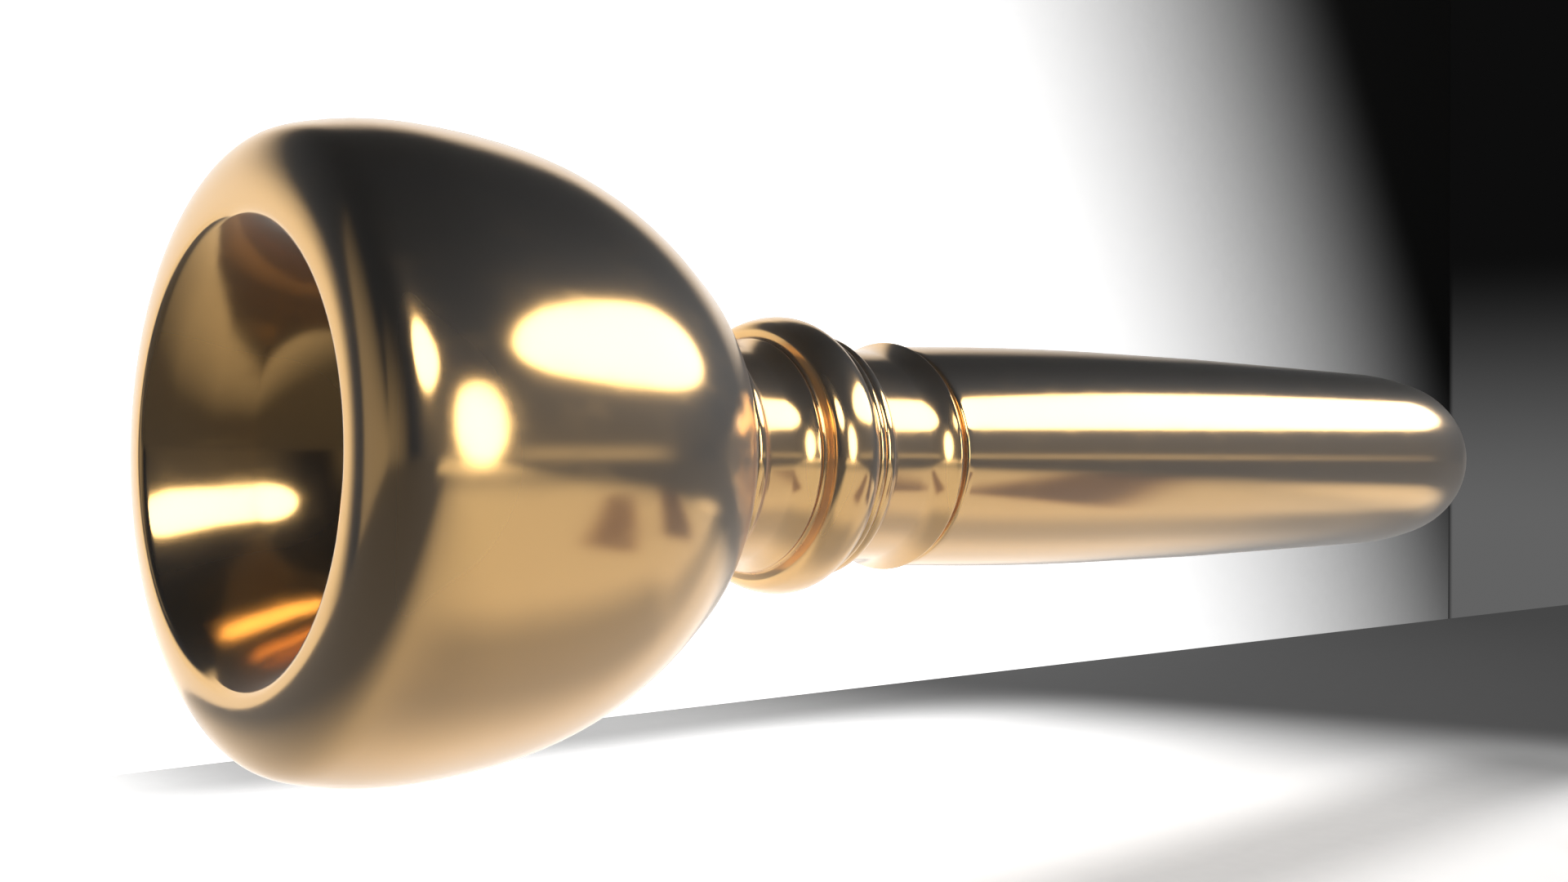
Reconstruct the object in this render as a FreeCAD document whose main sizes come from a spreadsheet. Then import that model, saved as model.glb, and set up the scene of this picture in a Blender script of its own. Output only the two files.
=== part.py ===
import FreeCAD, Part
import math
import os
import re
import Sketcher
from FreeCAD import Placement, Rotation, Vector

# A brass mouthpiece for a trumpet, taken apart as a player would: a screw-on rim,
# a cup, and a shank that screws into the back of the cup, with a neck ring, a bead
# collar, a spacer ring and a ferrule round the joint and a rubber seal at each thread.
# The bore lies along +X. The lips meet the rim at X = 0 and the shank points to +X.
# Lengths are millimetres and angles are degrees. A radius is measured from the bore's axis.

SIZES = {
    # rim
    "bore_radius": 8.7,             # inner edge of the rim, before it opens into the bowl
    "bite_rounding": 0.45,          # inner edge of the rim
    "lip_angle": 28,                # where the inner edge turns into the lip behind it
    "lip_rounding": 10,
    "face_angle": 35,               # where the rim's face turns into its outer corner
    "corner_rounding": 1.7,         # outer corner of the rim
    "side_angle": 73,               # where the corner turns into the cup's side
    "side_drop": 0.6,               # from the widest point in to the end of the corner
    "rim_depth": 3.2,               # from the lips to the seam between rim and cup
    "skirt_length": 5.0,            # rim's threaded skirt
    "skirt_chamfer": 0.3,
    # cup
    "cup_radius": 12.88,            # widest point
    "belly_rounding": 26.6,         # side behind the widest point
    "belly_angle": 9.4,
    "shoulder_rounding": 16,        # turn from the belly into the cone
    "cone_angle": 34.8,
    "cone_length": 1.45,            # straight part of the cone, along its slope
    "tail_rounding": 4.1,           # turn from the cone into the back of the cup
    "cup_length": 19.5,             # from the lips to the back of the cup
    "wall_angle": 20,               # straight upper wall of the bowl, behind the lip
    "wall_length": 2.6,
    "bowl_rounding": 7.6,           # hollow of the bowl below the wall
    "funnel_angle": 52,             # bottom of the bowl
    "throat_radius": 1.85,
    "throat_rounding": 1.2,         # edge between bowl and throat
    "stem_radius": 4.7,
    "stem_length": 5.25,
    "socket_depth": 7.75,           # for the shank, from the end of the stem
    "socket_radius": 3.17,
    # threads
    "thread_pitch": 1.0,
    "thread_depth": 0.5,
    "thread_root": 0.6,             # width of a tooth at its root
    "thread_crest": 0.24,           # width of a tooth at its top
    "thread_bite": 0.08,            # root of a tooth, sunk into the metal that carries it
    "thread_play": 0.12,            # round a tooth, in the groove that it runs in
    "rim_thread_radius": 10.15,     # over the teeth of the skirt
    "rim_thread_start": 1.9,        # from the seam to the middle of the first tooth
    "rim_thread_length": 2.5,
    "shank_thread_radius": 3.55,    # over the teeth of the spigot
    "shank_thread_start": 0.65,     # from the spigot's tip to the middle of the first tooth
    "shank_thread_length": 5.4,
    "groove_run_out": 0.2,          # groove left over past the last tooth
    # seals
    "rim_seal_thickness": 1.0,
    "shank_seal_thickness": 0.7,
    "seal_play": 0.05,
    # fits
    "seat_play": 0.02,              # between the faces of pieces that come apart
    "press_play": 0.01,             # round the bore of a ring that stays on
    "running_play": 0.03,           # round the journal in the bead collar
    "tip_play": 0.05,               # past the end of a thread, so that the shoulders seat
    # shape that the neck ring and the ferrule share: a ridge, a cove, a plain band and a flared brim
    "ridge_rounding": 0.45,
    "ridge_angle": 65,              # where the ridge turns into the cove
    "flare_rounding": 3.0,
    "brim_edge": 0.15,
    # neck ring
    "neck_front_radius": 5.7,
    "neck_front_fillet": 0.35,
    "neck_ridge_place": 1.53,       # from the cup
    "neck_ridge_radius": 5.75,
    "neck_band_radius": 5.1,
    "neck_brim_radius": 5.44,
    # bead collar
    "collar_length": 3.0,
    "foot_radius": 5.4,             # narrow face before the bead's flank
    "foot_length": 0.16,
    "foot_rise": 0.07,
    "bead_radius": 6.51,
    "bead_place": 1.71,             # from the collar's front to the top of the bead
    "bead_back_rounding": 1.58,
    "dome_rounding": 2.6,           # front half of the bead, near its top
    "dome_angle": 25,
    "flank_rounding": 0.8,          # front half of the bead, below the dome
    "flank_angle": 70,
    # spacer ring
    "spacer_length": 0.59,
    "spacer_radius": 5.66,
    "fine_bead_radius": 5.86,
    "fine_bead_rounding": 0.27,
    # ferrule
    "ferrule_length": 5.22,
    "ferrule_ridge_place": 0.29,    # from the spacer ring
    "ferrule_ridge_radius": 5.79,
    "ferrule_band_radius": 5.12,
    "ferrule_brim_radius": 5.64,
    "journal_radius": 4.0,          # under the bead collar, spacer ring and ferrule
    # shank
    "overall_length": 85.2,
    "root_groove_radius": 5.05,
    "root_groove_width": 0.15,
    "root_fillet": 0.3,
    "root_chamfer": 0.1,
    "swell_length": 15.6,           # from the root of the shank to its full radius
    "shank_radius": 5.86,
    "taper_angle": 0.72,            # each side
    "flow_rounding": 33,            # turn from the taper into the nose
    "flow_angle": 10,
    "nose_rounding": 7.4,
    "nose_angle": 35,
    "nose_edge": 0.3,
    "end_face_radius": 3.66,
    "backbore_start_radius": 1.9,
    "backbore_end_radius": 3.2,
    "backbore_chamfer": 0.2,
    "spigot_chamfer": 0.25,
}

# Places that follow from the sizes. Each formula uses only sizes and the formulas above it.
DERIVED = {
    # outside of rim and cup, from the lips to the back of the cone
    "crest_radius": "bore_radius + bite_rounding",
    "side_radius": "cup_radius - side_drop",
    "corner_radius": "side_radius - corner_rounding * (sin(side_angle) - sin(face_angle))",
    "face_rounding": "(corner_radius - crest_radius) / sin(face_angle)",
    "corner_x": "face_rounding * (1 - cos(face_angle))",
    "side_x": "corner_x + corner_rounding * (cos(face_angle) - cos(side_angle))",
    "side_rounding": "side_drop / (1 - sin(side_angle))",
    "belly_x": "side_x + side_rounding * cos(side_angle)",
    "seam_radius": "cup_radius - side_rounding + sqrt(side_rounding ^ 2 - (belly_x - rim_depth) ^ 2)",
    # the cup keeps its full width for a while where its curves are shorter than its length
    "curves_length": "belly_rounding * sin(belly_angle)"
                     " + shoulder_rounding * (sin(cone_angle) - sin(belly_angle))"
                     " + cone_length * cos(cone_angle) + tail_rounding * (1 - sin(cone_angle))",
    "belly_start_x": "max(belly_x; cup_length - curves_length)",
    "belly_end_x": "belly_start_x + belly_rounding * sin(belly_angle)",
    "belly_end_radius": "cup_radius - belly_rounding * (1 - cos(belly_angle))",
    "cone_x": "belly_end_x + shoulder_rounding * (sin(cone_angle) - sin(belly_angle))",
    "cone_radius": "belly_end_radius - shoulder_rounding * (cos(belly_angle) - cos(cone_angle))",
    "tail_x": "cone_x + cone_length * cos(cone_angle)",
    "tail_radius": "cone_radius - cone_length * sin(cone_angle)",
    "tail_run": "tail_rounding * sin(cone_angle) + cup_length - tail_x",
    "tail_end_radius": "tail_radius - tail_rounding * cos(cone_angle)"
                       " + sqrt(max(0; tail_rounding ^ 2 - tail_run ^ 2))",
    # inside of the bowl, from the lips to the throat
    "lip_x": "bite_rounding * (1 - sin(lip_angle))",
    "lip_radius": "crest_radius - bite_rounding * cos(lip_angle)",
    "wall_x": "lip_x + lip_rounding * (sin(lip_angle) - sin(wall_angle))",
    "wall_radius": "lip_radius - lip_rounding * (cos(wall_angle) - cos(lip_angle))",
    "bowl_x": "wall_x + wall_length * cos(wall_angle)",
    "bowl_radius": "wall_radius - wall_length * sin(wall_angle)",
    "funnel_x": "bowl_x + bowl_rounding * (sin(funnel_angle) - sin(wall_angle))",
    "funnel_radius": "bowl_radius - bowl_rounding * (cos(wall_angle) - cos(funnel_angle))",
    "funnel_end_radius": "throat_radius + throat_rounding * (1 - cos(funnel_angle))",
    "funnel_end_x": "funnel_x + (funnel_radius - funnel_end_radius) / tan(funnel_angle)",
    "throat_x": "funnel_end_x + throat_rounding * sin(funnel_angle)",
    # the funnel is cut across where the rim's skirt meets the ledge in the cup
    "skirt_x": "rim_depth + skirt_length",
    "skirt_bore": "funnel_radius - (skirt_x - funnel_x) * tan(funnel_angle)",
    "ledge_x": "skirt_x + tip_play",
    "ledge_bore": "funnel_radius - (ledge_x - funnel_x) * tan(funnel_angle)",
    # threads and seals
    "skirt_radius": "rim_thread_radius - thread_depth",
    "rim_socket_radius": "skirt_radius + thread_play",
    "rim_seal_groove": "skirt_radius + rim_seal_thickness + 2 * seal_play",
    "rim_seal_floor": "rim_depth + rim_seal_thickness + 2 * seal_play",
    "stem_end": "cup_length + stem_length",
    "socket_x": "stem_end - socket_depth",
    "spigot_radius": "shank_thread_radius - thread_depth",
    "shank_seal_groove": "shank_thread_radius + shank_seal_thickness + 2 * seal_play",
    "shank_seal_floor": "stem_end - shank_seal_thickness - 2 * seal_play",
    # pieces along the journal
    "spigot_x": "socket_x + tip_play",
    "collar_x": "stem_end + seat_play",
    "spacer_x": "collar_x + collar_length + seat_play",
    "ferrule_x": "spacer_x + spacer_length",
    "root_x": "ferrule_x + ferrule_length",
    # outline of the neck ring
    "ridge_flank": "ridge_rounding * (1 - cos(ridge_angle))",
    "neck_ridge_x": "neck_ridge_place - sqrt(ridge_rounding ^ 2"
                    " - (neck_front_radius - neck_front_fillet - neck_ridge_radius + ridge_rounding) ^ 2)",
    "neck_cove": "(neck_ridge_radius - ridge_flank - neck_band_radius) / (1 - cos(ridge_angle))",
    "neck_band_x": "neck_ridge_place + (ridge_rounding + neck_cove) * sin(ridge_angle)",
    "neck_flare": "neck_brim_radius - neck_band_radius",
    "neck_flare_x": "stem_length - brim_edge - sqrt((2 * flare_rounding - neck_flare) * neck_flare)",
    # outline of the bead collar and the spacer ring
    "dome_x": "bead_place - dome_rounding * sin(dome_angle)",
    "dome_radius": "bead_radius - dome_rounding * (1 - cos(dome_angle))",
    "flank_x": "dome_x - flank_rounding * (sin(flank_angle) - sin(dome_angle))",
    "flank_radius": "dome_radius - flank_rounding * (cos(dome_angle) - cos(flank_angle))",
    "bead_back_radius": "bead_radius - bead_back_rounding"
                        " + sqrt(bead_back_rounding ^ 2 - (collar_length - bead_place) ^ 2)",
    "fine_bead_rise": "fine_bead_radius - spacer_radius",
    "fine_bead_half": "sqrt((2 * fine_bead_rounding - fine_bead_rise) * fine_bead_rise)",
    # outline of the ferrule
    "ferrule_front_radius": "ferrule_ridge_radius - ridge_rounding"
                            " + sqrt(ridge_rounding ^ 2 - ferrule_ridge_place ^ 2)",
    "ferrule_cove": "(ferrule_ridge_radius - ridge_flank - ferrule_band_radius) / (1 - cos(ridge_angle))",
    "ferrule_band_x": "ferrule_ridge_place + (ridge_rounding + ferrule_cove) * sin(ridge_angle)",
    "ferrule_flare": "ferrule_brim_radius - ferrule_band_radius",
    "ferrule_flare_x": "ferrule_length - brim_edge"
                       " - sqrt((2 * flare_rounding - ferrule_flare) * ferrule_flare)",
    # outline of the shank, from its tip back to its root
    "nose_edge_x": "overall_length - nose_edge * (1 - sin(nose_angle))",
    "nose_edge_radius": "end_face_radius + nose_edge * cos(nose_angle)",
    "nose_x": "nose_edge_x - nose_rounding * (sin(nose_angle) - sin(flow_angle))",
    "nose_radius": "nose_edge_radius + nose_rounding * (cos(flow_angle) - cos(nose_angle))",
    "flow_x": "nose_x - flow_rounding * (sin(flow_angle) - sin(taper_angle))",
    "flow_radius": "nose_radius + flow_rounding * (cos(taper_angle) - cos(flow_angle))",
    "taper_x": "flow_x - (shank_radius - flow_radius) / tan(taper_angle)",
    "fillet_end_x": "root_x + root_groove_width + root_fillet",
    "fillet_end_radius": "root_groove_radius + root_fillet",
    "swell_x": "fillet_end_x + root_chamfer",
    "swell_radius": "fillet_end_radius + root_chamfer",
    "swell_rounding": "(swell_length ^ 2 + (shank_radius - swell_radius) ^ 2)"
                      " / (2 * (shank_radius - swell_radius))",
}

doc = FreeCAD.newDocument("BrassMouthpiece")


def fill_sheet(name, cells):
    """A spreadsheet with one named cell in a row, and its name beside it."""
    sheet = doc.addObject("Spreadsheet::Sheet", name)
    for row, (alias, content) in enumerate(cells.items(), start=1):
        sheet.set(f"A{row}", alias)
        sheet.set(f"B{row}", content)
        sheet.setAlias(f"B{row}", alias)
    doc.recompute()
    return sheet


def bound(formula):
    """The formula with each named size or place read from its sheet."""
    def cell(word):
        if word[0] in SIZES:
            return "Sizes." + word[0]
        return "Places." + word[0] if word[0] in DERIVED else word[0]
    return re.sub(r"[a-z]\w*", cell, formula)


sizes = fill_sheet("Sizes", {alias: str(value) for alias, value in SIZES.items()})
places = fill_sheet("Places", {alias: "=" + bound(formula) for alias, formula in DERIVED.items()})


def value_of(formula):
    return float(sizes.evalExpression(bound(formula)))


def at(x, radius):
    """A corner of an outline, as formulas."""
    return "corner", x, radius


def round_out(radius):
    """An arc that bulges out of the metal, from the corner before it to the next one."""
    return "arc", radius, 1


def round_in(radius):
    """An arc that hollows the metal, from the corner before it to the next one."""
    return "arc", radius, -1


def arc_between(start, end, radius, side):
    """The arc from start to end, and whether it runs that way. Side 1 has its centre on the right."""
    way = end - start
    right = Vector(way.y, -way.x, 0).normalize()
    reach = math.sqrt(max(radius ** 2 - way.Length ** 2 / 4, 0))
    centre = (start + end) / 2 + right * (reach * side)
    first, last = (end, start) if side == 1 else (start, end)
    circle = Part.Circle(centre, Vector(0, 0, 1), radius)
    arc = Part.ArcOfCircle(circle, circle.parameter(first), circle.parameter(last))
    return arc, side == -1


def place_of(corner):
    return Vector(value_of(corner[1]), value_of(corner[2]), 0)


def without_repeats(outline):
    """The outline less each corner that falls on the corner just before it."""
    kept = outline[:1]
    for step in outline[1:]:
        repeated = "corner" == step[0] == kept[-1][0] and place_of(step) == place_of(kept[-1])
        if not repeated:
            kept.append(step)
    return kept


def draw(body, name, outline):
    """A closed sketch of the body's half section. The outline goes round with the metal on its right."""
    outline = without_repeats(outline)
    sketch = body.newObject("Sketcher::SketchObject", name)
    plane = next(o for o in body.Origin.OriginFeatures if o.Role == "XY_Plane")
    sketch.AttachmentSupport = [(plane, "")]
    sketch.MapMode = "FlatFace"
    corners = [step for step in outline if step[0] == "corner"]
    points = [place_of(corner) for corner in corners]
    ends = []
    for step, following in zip(outline, outline[1:] + outline[:1]):
        if step[0] == "arc":
            continue
        start = points[len(ends)]
        end = points[(len(ends) + 1) % len(points)]
        if following[0] == "corner":
            edge = sketch.addGeometry(Part.LineSegment(start, end))
            ends.append((edge, 1, 2))
            continue
        arc, forward = arc_between(start, end, value_of(following[1]), following[2])
        edge = sketch.addGeometry(arc)
        ends.append((edge, 1, 2) if forward else (edge, 2, 1))
        number = sketch.addConstraint(Sketcher.Constraint("Radius", edge, arc.Radius))
        sketch.setExpression(f"Constraints[{number}]", bound(following[1]))
    for (edge, _, last), (other, first, _) in zip(ends, ends[1:] + ends[:1]):
        sketch.addConstraint(Sketcher.Constraint("Coincident", edge, last, other, first))
    for (edge, first, _), (_, x, radius), point in zip(ends, corners, points):
        for kind, formula, value in (("DistanceX", x, point.x), ("DistanceY", radius, point.y)):
            number = sketch.addConstraint(Sketcher.Constraint(kind, -1, 1, edge, first, value))
            sketch.setExpression(f"Constraints[{number}]", bound(formula))
    return sketch


def turned(name, outline, place="0"):
    """A body turned about the bore's axis, as on a lathe, with its own origin at place along the axis."""
    body = doc.addObject("PartDesign::Body", name)
    body.Label = name
    sketch = draw(body, name + "_outline", outline)
    turning = body.newObject("PartDesign::Revolution", name + "_turning")
    turning.Profile = sketch
    turning.ReferenceAxis = (sketch, ["H_Axis"])
    turning.Angle = 360
    body.setExpression("Placement.Base.x", bound(place))
    return body


def thread(body, kind, name, middle, root, play, length, back=False):
    """A right-hand thread on the body: teeth for AdditiveHelix and their groove for SubtractiveHelix.

    middle is where the first tooth stands, root the radius that the teeth rise from. Play
    widens the groove all round, and a groove that runs back is cut towards -X.
    """
    sunk = f"({root}) - thread_bite"
    top = f"({root}) + thread_depth + {play}"
    half_root = f"thread_root / 2 + {play}"
    half_crest = f"thread_crest / 2 + {play}"
    tooth = draw(body, name + "_outline", [
        at(f"{middle} - ({half_root})", sunk),
        at(f"{middle} - ({half_crest})", top),
        at(f"{middle} + ({half_crest})", top),
        at(f"{middle} + ({half_root})", sunk),
    ])
    helix = body.newObject("PartDesign::" + kind, name)
    helix.Profile = tooth
    helix.ReferenceAxis = (tooth, ["H_Axis"])
    helix.Mode = "pitch-height-angle"
    helix.LeftHanded = False
    helix.Reversed = back
    helix.setExpression("Pitch", bound("thread_pitch"))
    helix.setExpression("Height", bound(length))
    return helix


def seal(name, middle_radius, thickness, place):
    """A rubber ring of round section, centred at place."""
    ring = doc.addObject("Part::Torus", name)
    ring.Label = name
    ring.setExpression("Radius1", bound(middle_radius))
    ring.setExpression("Radius2", bound(thickness + " / 2"))
    ring.Placement = Placement(Vector(0, 0, 0), Rotation(Vector(0, 1, 0), 90))
    ring.setExpression("Placement.Base.x", bound(place))
    return ring


def make_rim():
    """The lips' ring: its shoulder seats on the cup and its skirt screws into it."""
    body = turned("rim", [
        at("lip_x", "lip_radius"),
        round_out("bite_rounding"),
        at("0", "crest_radius"),
        round_out("face_rounding"),
        at("corner_x", "corner_radius"),
        round_out("corner_rounding"),
        at("side_x", "side_radius"),
        round_out("side_rounding"),
        at("rim_depth", "seam_radius"),
        at("rim_depth", "skirt_radius"),
        at("skirt_x - skirt_chamfer", "skirt_radius"),
        at("skirt_x", "skirt_radius - skirt_chamfer"),
        at("skirt_x", "skirt_bore"),
        at("funnel_x", "funnel_radius"),
        round_in("bowl_rounding"),
        at("bowl_x", "bowl_radius"),
        at("wall_x", "wall_radius"),
        round_out("lip_rounding"),
    ])
    thread(body, "AdditiveHelix", "rim_thread", "rim_depth + rim_thread_start",
           "skirt_radius", "0", "rim_thread_length")
    return body


def make_cup():
    """The cup with its bowl and throat. The rim screws in at the front and the shank at the back."""
    front = "rim_depth + seat_play"
    body = turned("cup", [
        at(front, "rim_seal_groove"),
        at(front, "seam_radius"),
        round_out("side_rounding"),
        at("belly_x", "cup_radius"),
        at("belly_start_x", "cup_radius"),
        round_out("belly_rounding"),
        at("belly_end_x", "belly_end_radius"),
        round_out("shoulder_rounding"),
        at("cone_x", "cone_radius"),
        at("tail_x", "tail_radius"),
        round_out("tail_rounding"),
        at("cup_length", "tail_end_radius"),
        at("cup_length", "stem_radius"),
        at("stem_end", "stem_radius"),
        at("stem_end", "shank_seal_groove"),
        at("shank_seal_floor", "shank_seal_groove"),
        at("shank_seal_floor", "socket_radius"),
        at("socket_x", "socket_radius"),
        at("socket_x", "throat_radius"),
        at("throat_x", "throat_radius"),
        round_out("throat_rounding"),
        at("funnel_end_x", "funnel_end_radius"),
        at("ledge_x", "ledge_bore"),
        at("ledge_x", "rim_socket_radius"),
        at("rim_seal_floor", "rim_socket_radius"),
        at("rim_seal_floor", "rim_seal_groove"),
    ])
    # each groove starts in the open, two turns or more before the first tooth at rest
    thread(body, "SubtractiveHelix", "rim_groove", "rim_depth + rim_thread_start - 2 * thread_pitch",
           "skirt_radius", "thread_play", "rim_thread_length + 2 * thread_pitch + groove_run_out")
    turns = math.ceil(value_of("(socket_depth + thread_root) / thread_pitch"))
    thread(body, "SubtractiveHelix", "shank_groove",
           f"spigot_x + shank_thread_start + {turns} * thread_pitch",
           "spigot_radius", "thread_play", f"{turns} * thread_pitch + groove_run_out", back=True)
    return body


def band(piece, length):
    """The outside of the neck ring or the ferrule, from the far side of its ridge to its back."""
    return [
        at(f"{piece}_ridge_place + ridge_rounding * sin(ridge_angle)", f"{piece}_ridge_radius - ridge_flank"),
        round_in(f"{piece}_cove"),
        at(f"{piece}_band_x", f"{piece}_band_radius"),
        at(f"{piece}_flare_x", f"{piece}_band_radius"),
        round_in("flare_rounding"),
        at(f"{length} - brim_edge", f"{piece}_brim_radius"),
        round_out("brim_edge"),
        at(length, f"{piece}_brim_radius - brim_edge"),
    ]


def make_neck_ring():
    """The first band, pressed on the cup's stem."""
    waist = "neck_front_radius - neck_front_fillet"
    return turned("neck_ring", [
        at("0", "stem_radius + press_play"),
        at("0", "neck_front_radius"),
        round_in("neck_front_fillet"),
        at("neck_front_fillet", waist),
        at("neck_ridge_x", waist),
        round_out("ridge_rounding"),
    ] + band("neck", "stem_length") + [
        at("stem_length", "stem_radius + press_play"),
    ], "cup_length")


def make_bead_collar():
    """The big round bead, loose on the shank's journal and clamped by the stem."""
    bore = "journal_radius + running_play"
    return turned("bead_collar", [
        at("0", bore),
        at("0", "foot_radius"),
        at("foot_length", "foot_radius + foot_rise"),
        at("flank_x", "flank_radius"),
        round_out("flank_rounding"),
        at("dome_x", "dome_radius"),
        round_out("dome_rounding"),
        at("bead_place", "bead_radius"),
        round_out("bead_back_rounding"),
        at("collar_length", "bead_back_radius"),
        at("collar_length", bore),
    ], "collar_x")


def make_spacer_ring():
    """A thin ring with one fine bead, pressed on the journal."""
    bore = "journal_radius + press_play"
    return turned("spacer_ring", [
        at("0", bore),
        at("0", "spacer_radius"),
        at("spacer_length / 2 - fine_bead_half", "spacer_radius"),
        round_out("fine_bead_rounding"),
        at("spacer_length / 2 + fine_bead_half", "spacer_radius"),
        at("spacer_length", "spacer_radius"),
        at("spacer_length", bore),
    ], "spacer_x")


def make_ferrule():
    """The second band, pressed on the journal against the shank's shoulder."""
    bore = "journal_radius + press_play"
    return turned("ferrule", [
        at("0", bore),
        at("0", "ferrule_front_radius"),
        round_out("ridge_rounding"),
    ] + band("ferrule", "ferrule_length") + [
        at("ferrule_length", bore),
    ], "ferrule_x")


def make_shank():
    """The tube that goes into the instrument, with its backbore, its journal and its threaded spigot."""
    land = "shank_seal_floor + seal_play - spigot_x"
    body = turned("shank", [
        at("0", "backbore_start_radius"),
        at("0", "spigot_radius - spigot_chamfer"),
        at("spigot_chamfer", "spigot_radius"),
        at(land, "spigot_radius"),
        at(land, "shank_thread_radius"),
        at("collar_x - spigot_x", "shank_thread_radius"),
        at("collar_x - spigot_x", "journal_radius"),
        at("root_x - spigot_x", "journal_radius"),
        at("root_x - spigot_x", "root_groove_radius"),
        at("root_x + root_groove_width - spigot_x", "root_groove_radius"),
        round_in("root_fillet"),
        at("fillet_end_x - spigot_x", "fillet_end_radius"),
        at("swell_x - spigot_x", "swell_radius"),
        round_out("swell_rounding"),
        at("swell_x + swell_length - spigot_x", "shank_radius"),
        at("taper_x - spigot_x", "shank_radius"),
        at("flow_x - spigot_x", "flow_radius"),
        round_out("flow_rounding"),
        at("nose_x - spigot_x", "nose_radius"),
        round_out("nose_rounding"),
        at("nose_edge_x - spigot_x", "nose_edge_radius"),
        round_out("nose_edge"),
        at("overall_length - spigot_x", "end_face_radius"),
        at("overall_length - spigot_x", "backbore_end_radius + backbore_chamfer"),
        at("overall_length - backbore_chamfer - spigot_x", "backbore_end_radius"),
    ], "spigot_x")
    thread(body, "AdditiveHelix", "shank_thread", "shank_thread_start",
           "spigot_radius", "0", "shank_thread_length")
    return body


def make_seals():
    """One seal in the cup's front, on the rim's skirt, and one in the end of its stem, on the spigot."""
    return [
        seal("rim_seal", "skirt_radius + seal_play + rim_seal_thickness / 2", "rim_seal_thickness",
             "rim_depth + seal_play + rim_seal_thickness / 2"),
        seal("shank_seal", "shank_thread_radius + seal_play + shank_seal_thickness / 2",
             "shank_seal_thickness", "stem_end - seal_play - shank_seal_thickness / 2"),
    ]


pieces = [
    make_rim(),
    make_cup(),
    make_neck_ring(),
    make_bead_collar(),
    make_spacer_ring(),
    make_ferrule(),
    make_shank(),
] + make_seals()
doc.recompute()

for item in doc.Objects:
    if "Invalid" in item.State or "Error" in item.State:
        raise RuntimeError(f"{item.Label} is {item.State}")
for piece in pieces:
    shape = piece.Shape
    if shape.isNull() or not shape.isValid() or len(shape.Solids) != 1:
        raise RuntimeError(f"{piece.Label} is not one valid solid")

os.makedirs("parts", exist_ok=True)
for piece in pieces:
    piece.Shape.exportStep(f"parts/{piece.Label}.step")
    box = piece.Shape.optimalBoundingBox()
    print(f"{piece.Label}: {piece.Shape.Volume:.1f} mm3, X {box.XMin:.2f} to {box.XMax:.2f},"
          f" radius {box.ZMax:.2f}")
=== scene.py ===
import math

import bpy
from mathutils import Matrix, Quaternion, Vector


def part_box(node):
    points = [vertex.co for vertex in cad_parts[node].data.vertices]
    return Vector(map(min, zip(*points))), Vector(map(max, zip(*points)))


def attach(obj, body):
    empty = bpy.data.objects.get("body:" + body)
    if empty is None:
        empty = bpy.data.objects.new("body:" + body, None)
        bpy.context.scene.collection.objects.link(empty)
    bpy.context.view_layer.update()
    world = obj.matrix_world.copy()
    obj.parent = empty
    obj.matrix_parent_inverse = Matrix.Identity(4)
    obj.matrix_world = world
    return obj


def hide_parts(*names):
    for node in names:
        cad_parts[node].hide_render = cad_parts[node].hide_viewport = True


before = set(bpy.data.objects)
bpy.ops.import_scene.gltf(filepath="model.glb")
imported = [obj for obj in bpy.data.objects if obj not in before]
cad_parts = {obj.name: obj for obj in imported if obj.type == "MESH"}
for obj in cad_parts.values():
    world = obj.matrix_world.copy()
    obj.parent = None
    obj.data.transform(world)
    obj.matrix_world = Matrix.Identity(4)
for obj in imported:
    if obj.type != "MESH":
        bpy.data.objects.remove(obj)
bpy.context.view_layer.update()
scene = bpy.context.scene
mm = 0.001

print("stage 1: frame loaded,", len(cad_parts), "nodes")


# a socket that can stand in sums, so that shader maths reads as maths
class Wire:
    def __init__(self, graph, socket):
        self.graph = graph
        self.socket = socket

    def __add__(self, other):
        return self.graph.maths("ADD", self, other)

    def __radd__(self, other):
        return self.graph.maths("ADD", other, self)

    def __sub__(self, other):
        return self.graph.maths("SUBTRACT", self, other)

    def __rsub__(self, other):
        return self.graph.maths("SUBTRACT", other, self)

    def __mul__(self, other):
        return self.graph.maths("MULTIPLY", self, other)


# the node tree of a material or of the world
class Graph:
    def __init__(self, owner):
        owner.use_nodes = True
        self.nodes = owner.node_tree.nodes
        self.links = owner.node_tree.links
        self.nodes.clear()

    # settings come first, then the sockets' values or wires
    def add(self, kind, settings=None, sockets=None):
        made = self.nodes.new(kind)
        for name, value in (settings or {}).items():
            setattr(made, name, value)
        for name, value in (sockets or {}).items():
            if isinstance(value, Wire):
                self.links.new(value.socket, made.inputs[name])
            elif value is not None:
                made.inputs[name].default_value = value
        return made

    def wire(self, kind, output, settings=None, sockets=None):
        return Wire(self, self.add(kind, settings, sockets).outputs[output])

    def maths(self, operation, first, second=None):
        return self.wire("ShaderNodeMath", 0, {"operation": operation}, {0: first, 1: second})

    def vectors(self, operation, first, second):
        output = "Value" if operation in ("DOT_PRODUCT", "DISTANCE") else "Vector"
        place = "Scale" if operation == "SCALE" else 1
        sockets = {0: first, place: second}
        return self.wire("ShaderNodeVectorMath", output, {"operation": operation}, sockets)

    def blend(self, factor, first, second):
        settings = {"data_type": "RGBA", "clamp_factor": True}
        return self.wire("ShaderNodeMix", 2, settings, {0: factor, 6: first, 7: second})

    # 0 below low, 1 above high, and a smooth rise between
    def rise(self, value, low, high):
        sockets = {"Value": value, "From Min": low, "From Max": high}
        return self.wire("ShaderNodeMapRange", "Result", {"interpolation_type": "SMOOTHSTEP"}, sockets)

    def noise(self, vector, scale, detail=3.0, roughness=0.55):
        sockets = {"Vector": vector, "Scale": scale, "Detail": detail, "Roughness": roughness}
        return self.wire("ShaderNodeTexNoise", "Fac", None, sockets)


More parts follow.
